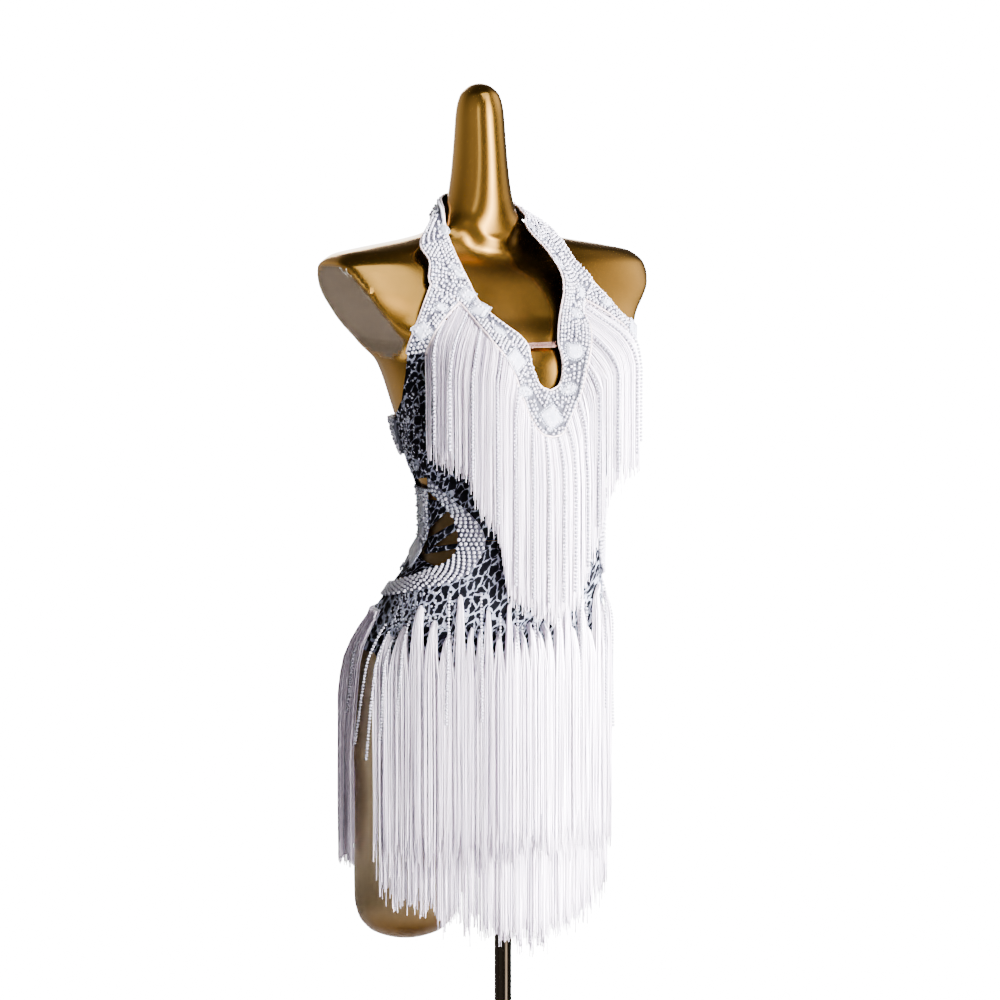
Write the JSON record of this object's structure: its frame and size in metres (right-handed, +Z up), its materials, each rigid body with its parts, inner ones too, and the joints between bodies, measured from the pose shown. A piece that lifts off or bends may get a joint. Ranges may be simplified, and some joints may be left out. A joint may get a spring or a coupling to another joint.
{
  "type": "latin dance dress on a dress form",
  "caption": "Halter latin dance dress with beaded trims, open waist sides and long layered fringe, worn on a limbless display form on a pole and a round base.",
  "frame": {"origin": "on the floor under the figure, on the underside of the round base, in the figure's middle plane", "axes": "+Z up, the figure faces -Y, +X is the wearer's left"},
  "size_m": [0.3948, 0.38, 1.5465],
  "materials": {
    "form_lacquer": "metallic gold lacquer, glossy",
    "pole_metal": "dark polished",
    "base_lacquer": "satin bronze lacquer",
    "beaded_net": "closely beaded with pearls and stones",
    "printed_jersey": "stretch jersey with a black and white animal print",
    "bar_metal": "rose gold",
    "fringe_yarn": "silky twisted yarn"
  },
  "bodies": {
    "root": {"dress_form": "form_lacquer", "stand_pole": "pole_metal", "stand_base": "base_lacquer", "halter_yoke": "beaded_net", "back_band": "beaded_net", "cutout_front_trim_left": "beaded_net", "cutout_front_trim_right": "beaded_net", "cutout_back_trim_left": "beaded_net", "cutout_back_trim_right": "beaded_net", "bodice_front": "printed_jersey", "back_panel": "printed_jersey", "hip_front": "printed_jersey", "hip_back": "printed_jersey", "cutout_strap_upper_left": "printed_jersey", "cutout_strap_upper_right": "printed_jersey", "cutout_strap_middle_left": "printed_jersey", "cutout_strap_middle_right": "printed_jersey", "cutout_strap_lower_left": "printed_jersey", "cutout_strap_lower_right": "printed_jersey", "keyhole_bar": "bar_metal", "fringe_chest": "fringe_yarn", "fringe_skirt_upper": "fringe_yarn", "fringe_skirt_under": "fringe_yarn", "fringe_skirt_back": "fringe_yarn"}
  },
  "joints": []
}
